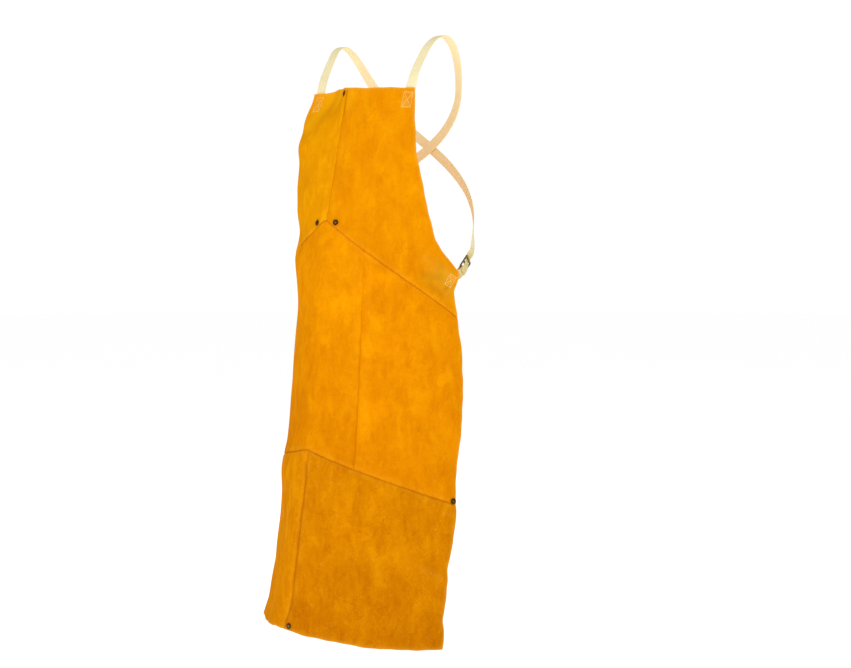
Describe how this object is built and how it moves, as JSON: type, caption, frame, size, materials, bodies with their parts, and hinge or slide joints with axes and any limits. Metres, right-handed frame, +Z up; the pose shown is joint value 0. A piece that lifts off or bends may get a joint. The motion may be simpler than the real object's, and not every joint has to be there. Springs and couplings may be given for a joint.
{
  "type": "leather bib apron",
  "caption": "Worn-form protective bib apron of sewn golden split hide with cream webbing straps crossing on the back, waist slide buckles and cap rivets at the seams.",
  "frame": {"origin": "midway between the two places where the straps rest on the shoulders, at about the height of the straps' underside", "axes": "+Z up, the front of the apron faces -Y, +X is the wearer's left"},
  "size_m": [0.4615, 0.4018, 1.174],
  "materials": {
    "split_hide": "napped suede",
    "split_hide_brown": "napped suede",
    "cream_webbing": "woven cotton",
    "antique_brass": "antiqued, satin"
  },
  "bodies": {
    "root": {"bib_panel_left": "split_hide", "bib_panel_right": "split_hide", "body_panel_left": "split_hide", "body_panel_right": "split_hide", "skirt_panel_left": "split_hide_brown", "skirt_panel_right": "split_hide_brown", "strap_left": "cream_webbing", "strap_right": "cream_webbing", "waist_tab_left": "cream_webbing", "waist_tab_right": "cream_webbing", "buckle_left": "antique_brass", "buckle_right": "antique_brass", "rivet_bib_top": "antique_brass", "rivet_peak_left": "antique_brass", "rivet_peak_right": "antique_brass", "rivet_skirt_edge": "antique_brass", "rivet_hem": "antique_brass"}
  },
  "joints": []
}
